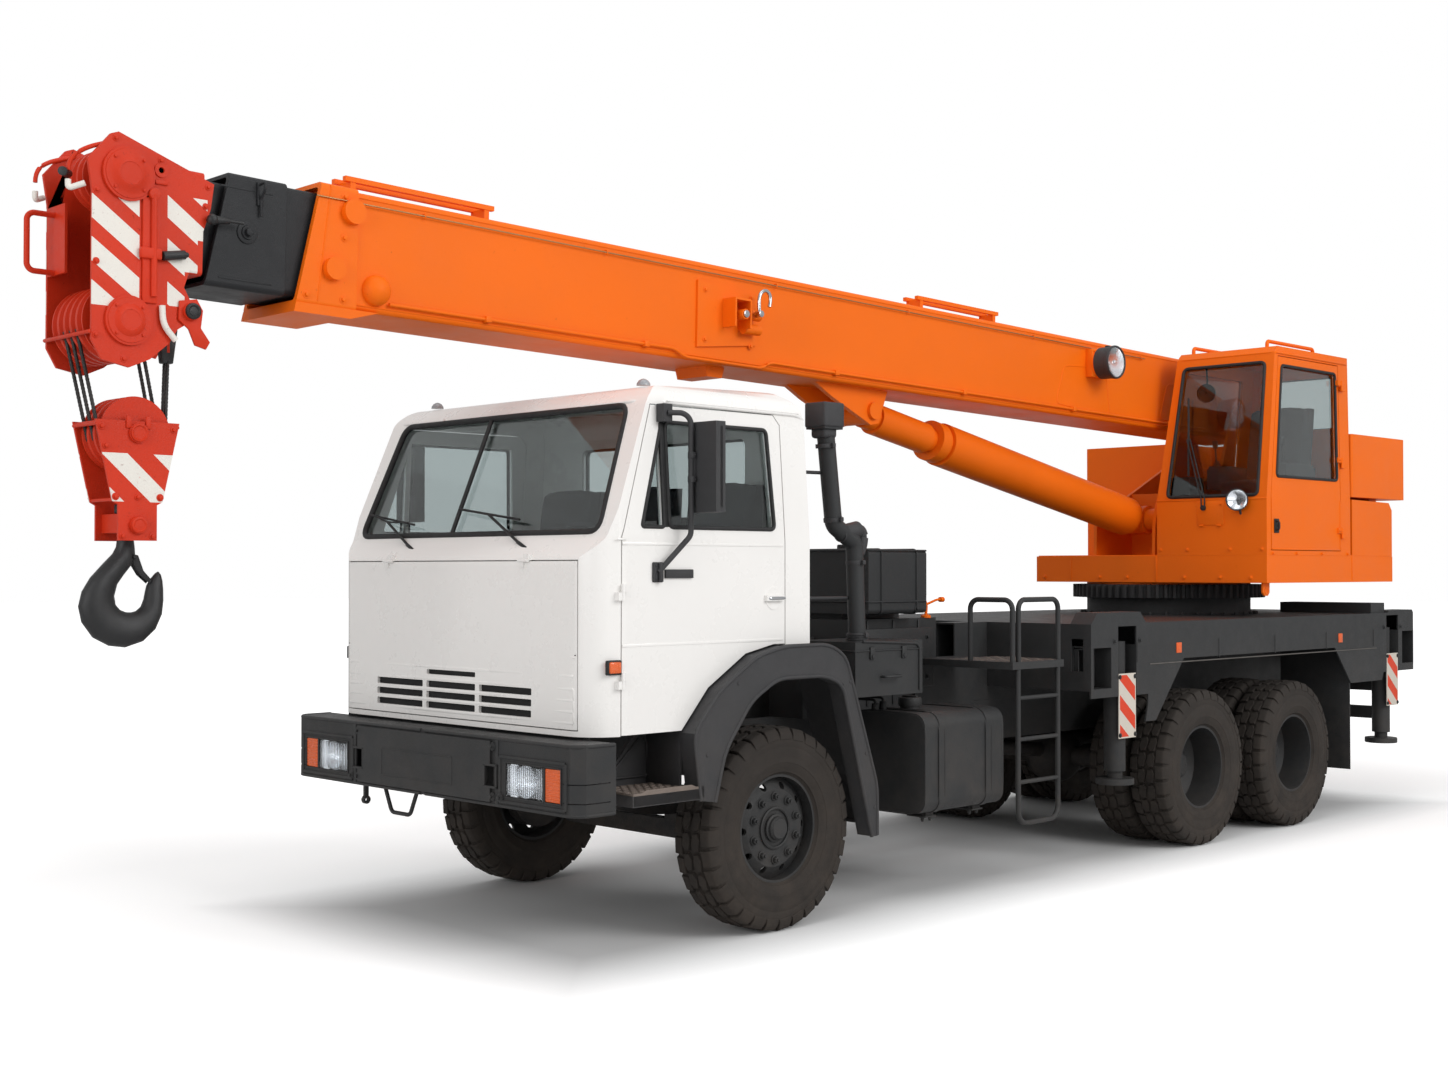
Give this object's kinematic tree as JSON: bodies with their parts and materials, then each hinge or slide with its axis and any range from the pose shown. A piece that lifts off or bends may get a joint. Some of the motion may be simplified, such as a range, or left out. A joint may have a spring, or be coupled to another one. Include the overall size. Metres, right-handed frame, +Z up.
{
  "type": "mobile crane",
  "caption": "Truck-mounted telescopic boom crane with a cab-over chassis, outriggers, operator's cab, luffing cylinder and hook block.",
  "frame": {"origin": "on the ground under the middle of the machine", "axes": "-Y is the front of the truck and the way the stowed boom points, +X is the driver's side, +Z is up"},
  "size_m": [2.77, 10.988, 3.8337],
  "materials": {
    "black_plastic": "moulded, fine grain",
    "boom_grey": "satin paint",
    "cab_white": "smooth gloss paint",
    "cast": "cast and machined",
    "chassis_grey": "satin paint",
    "crane_orange": "semi-gloss paint",
    "glass": "clear",
    "hook_steel": "forged, blackened",
    "lamp_lens": "ribbed clear lens and amber lens",
    "rim": "satin paint, dusty",
    "rope_steel": "stranded wire, greased",
    "seat_cloth": "woven cloth",
    "signal_red": "semi-gloss paint with white stripes",
    "tyre": "worn rubber"
  },
  "bodies": {
    "chassis": {"chassis_frame": "chassis_grey", "front_bumper": "chassis_grey", "head_lamps": "lamp_lens", "running_gear": "cast", "cab_shell": "cab_white", "cab_glass": "glass", "cab_interior": "seat_cloth", "cab_fenders": "black_plastic", "fuel_tank": "chassis_grey", "deck_boxes": "chassis_grey", "access_ladder": "chassis_grey", "outrigger_frame": "chassis_grey", "slew_ring": "cast"},
    "front_panel": {"front_panel": "cab_white"},
    "turntable": {"slew_platform": "crane_orange", "hoist_winch": "cast", "counterweight": "crane_orange", "operator_cab": "crane_orange", "operator_glass": "glass", "operator_seat": "seat_cloth"},
    "operator_door": {"operator_door": "crane_orange", "operator_door_glass": "glass"},
    "boom": {"boom_base": "crane_orange"},
    "boom_middle": {"boom_middle": "boom_grey"},
    "boom_tip": {"boom_tip": "boom_grey", "boom_head": "signal_red"},
    "luff_barrel": {"luff_barrel": "crane_orange"},
    "luff_rod": {"luff_rod": "crane_orange"},
    "rope_falls": {"hoist_ropes": "rope_steel"},
    "hook_block": {"hook_block": "signal_red"},
    "hook": {"hook": "hook_steel"},
    "door_left": {"door_left": "cab_white", "door_glass_left": "glass", "mirror_left": "black_plastic"},
    "door_right": {"door_right": "cab_white", "door_glass_right": "glass", "mirror_right": "black_plastic"},
    "knuckle_left": {"knuckle_left": "cast"},
    "wheel_front_left": {"tyre_front_left": "tyre", "rim_front_left": "rim"},
    "wheel_middle_left": {"tyre_middle_left": "tyre", "rim_middle_left": "rim"},
    "wheel_rear_left": {"tyre_rear_left": "tyre", "rim_rear_left": "rim"},
    "knuckle_right": {"knuckle_right": "cast"},
    "wheel_front_right": {"tyre_front_right": "tyre", "rim_front_right": "rim"},
    "wheel_middle_right": {"tyre_middle_right": "tyre", "rim_middle_right": "rim"},
    "wheel_rear_right": {"tyre_rear_right": "tyre", "rim_rear_right": "rim"},
    "beam_front_left": {"beam_front_left": "chassis_grey"},
    "jack_front_left": {"jack_front_left": "chassis_grey"},
    "beam_front_right": {"beam_front_right": "chassis_grey"},
    "jack_front_right": {"jack_front_right": "chassis_grey"},
    "beam_rear_left": {"beam_rear_left": "chassis_grey"},
    "jack_rear_left": {"jack_rear_left": "chassis_grey"},
    "beam_rear_right": {"beam_rear_right": "chassis_grey"},
    "jack_rear_right": {"jack_rear_right": "chassis_grey"}
  },
  "joints": [
    {"name": "slew", "type": "hinge", "parent": "chassis", "child": "turntable", "pos_m": [0, 3.75, 1.811], "axis": [0, 0, 1], "continuous": true},
    {"name": "boom_luff", "type": "hinge", "parent": "turntable", "child": "boom", "pos_m": [0, 4.45, 3.118], "axis": [-1, 0, 0], "range_deg": [0, 66]},
    {"name": "tele_middle", "type": "slide", "parent": "boom", "child": "boom_middle", "axis": [0, -0.9997, 0.0227], "range_m": [0, 6]},
    {"name": "tele_tip", "type": "slide", "parent": "boom_middle", "child": "boom_tip", "axis": [0, -0.9997, 0.0227], "range_m": [0, 6]},
    {"name": "luff_cylinder_swing", "type": "hinge", "parent": "turntable", "child": "luff_barrel", "pos_m": [0, 3.27, 2.3], "axis": [-1, 0, 0], "range_deg": [0, 69.64]},
    {"name": "luff_cylinder_stroke", "type": "slide", "parent": "luff_barrel", "child": "luff_rod", "axis": [0, -0.9821, 0.1882], "range_m": [0, 1.5437]},
    {"name": "rope_plumb", "type": "hinge", "parent": "boom_tip", "child": "rope_falls", "pos_m": [0, -5.19, 3.005], "axis": [-1, 0, 0], "range_deg": [-66, 0]},
    {"name": "hook_hoist", "type": "slide", "parent": "rope_falls", "child": "hook_block", "axis": [0, 0, -1], "range_m": [-0.12, 1.4], "deforming": ["hoist_ropes"]},
    {"name": "hook_swivel", "type": "hinge", "parent": "hook_block", "child": "hook", "pos_m": [0, -5.085, 2.1], "axis": [0, 0, 1], "continuous": true},
    {"name": "front_panel_hinge", "type": "hinge", "parent": "chassis", "child": "front_panel", "pos_m": [0, -3.288, 1.955], "axis": [-1, 0, 0], "range_deg": [0, 95]},
    {"name": "door_left_hinge", "type": "hinge", "parent": "chassis", "child": "door_left", "pos_m": [1.162, -3.112, 1.55], "axis": [0, 0, -1], "range_deg": [0, 70]},
    {"name": "door_right_hinge", "type": "hinge", "parent": "chassis", "child": "door_right", "pos_m": [-1.162, -3.112, 1.55], "axis": [0, 0, 1], "range_deg": [0, 70]},
    {"name": "operator_door_hinge", "type": "hinge", "parent": "turntable", "child": "operator_door", "pos_m": [1.244, 4.237, 2.8], "axis": [0, 0, 1], "range_deg": [0, 90]},
    {"name": "steer_left", "type": "hinge", "parent": "chassis", "child": "knuckle_left", "pos_m": [0.815, -2, 0.541], "axis": [0, 0, 1], "range_deg": [-32, 32]},
    {"name": "wheel_front_left_spin", "type": "hinge", "parent": "knuckle_left", "child": "wheel_front_left", "pos_m": [1.025, -2, 0.541], "axis": [1, 0, 0], "continuous": true},
    {"name": "wheel_middle_left_spin", "type": "hinge", "parent": "chassis", "child": "wheel_middle_left", "pos_m": [0.945, 2.16, 0.541], "axis": [1, 0, 0], "continuous": true},
    {"name": "wheel_rear_left_spin", "type": "hinge", "parent": "chassis", "child": "wheel_rear_left", "pos_m": [0.945, 3.48, 0.541], "axis": [1, 0, 0], "continuous": true},
    {"name": "steer_right", "type": "hinge", "parent": "chassis", "child": "knuckle_right", "pos_m": [-0.815, -2, 0.541], "axis": [0, 0, 1], "range_deg": [-32, 32]},
    {"name": "wheel_front_right_spin", "type": "hinge", "parent": "knuckle_right", "child": "wheel_front_right", "pos_m": [-1.025, -2, 0.541], "axis": [1, 0, 0], "continuous": true},
    {"name": "wheel_middle_right_spin", "type": "hinge", "parent": "chassis", "child": "wheel_middle_right", "pos_m": [-0.945, 2.16, 0.541], "axis": [1, 0, 0], "continuous": true},
    {"name": "wheel_rear_right_spin", "type": "hinge", "parent": "chassis", "child": "wheel_rear_right", "pos_m": [-0.945, 3.48, 0.541], "axis": [1, 0, 0], "continuous": true},
    {"name": "beam_front_left_slide", "type": "slide", "parent": "chassis", "child": "beam_front_left", "axis": [1, 0, 0], "range_m": [0, 1.6]},
    {"name": "jack_front_left_lower", "type": "slide", "parent": "beam_front_left", "child": "jack_front_left", "axis": [0, 0, -1], "range_m": [0, 0.5]},
    {"name": "beam_front_right_slide", "type": "slide", "parent": "chassis", "child": "beam_front_right", "axis": [-1, 0, 0], "range_m": [0, 1.6]},
    {"name": "jack_front_right_lower", "type": "slide", "parent": "beam_front_right", "child": "jack_front_right", "axis": [0, 0, -1], "range_m": [0, 0.5]},
    {"name": "beam_rear_left_slide", "type": "slide", "parent": "chassis", "child": "beam_rear_left", "axis": [1, 0, 0], "range_m": [0, 1.6]},
    {"name": "jack_rear_left_lower", "type": "slide", "parent": "beam_rear_left", "child": "jack_rear_left", "axis": [0, 0, -1], "range_m": [0, 0.5]},
    {"name": "beam_rear_right_slide", "type": "slide", "parent": "chassis", "child": "beam_rear_right", "axis": [-1, 0, 0], "range_m": [0, 1.6]},
    {"name": "jack_rear_right_lower", "type": "slide", "parent": "beam_rear_right", "child": "jack_rear_right", "axis": [0, 0, -1], "range_m": [0, 0.5]}
  ],
  "couplings": [
    {"joint": "tele_tip", "follows": "tele_middle", "ratio": 1},
    {"joint": "luff_cylinder_swing", "follows": "boom_luff", "ratio": 1.0544},
    {"joint": "luff_cylinder_stroke", "follows": "boom_luff", "m_per_rad": 1.3393},
    {"joint": "rope_plumb", "follows": "boom_luff", "ratio": -1},
    {"joint": "steer_right", "follows": "steer_left", "ratio": 1}
  ]
}
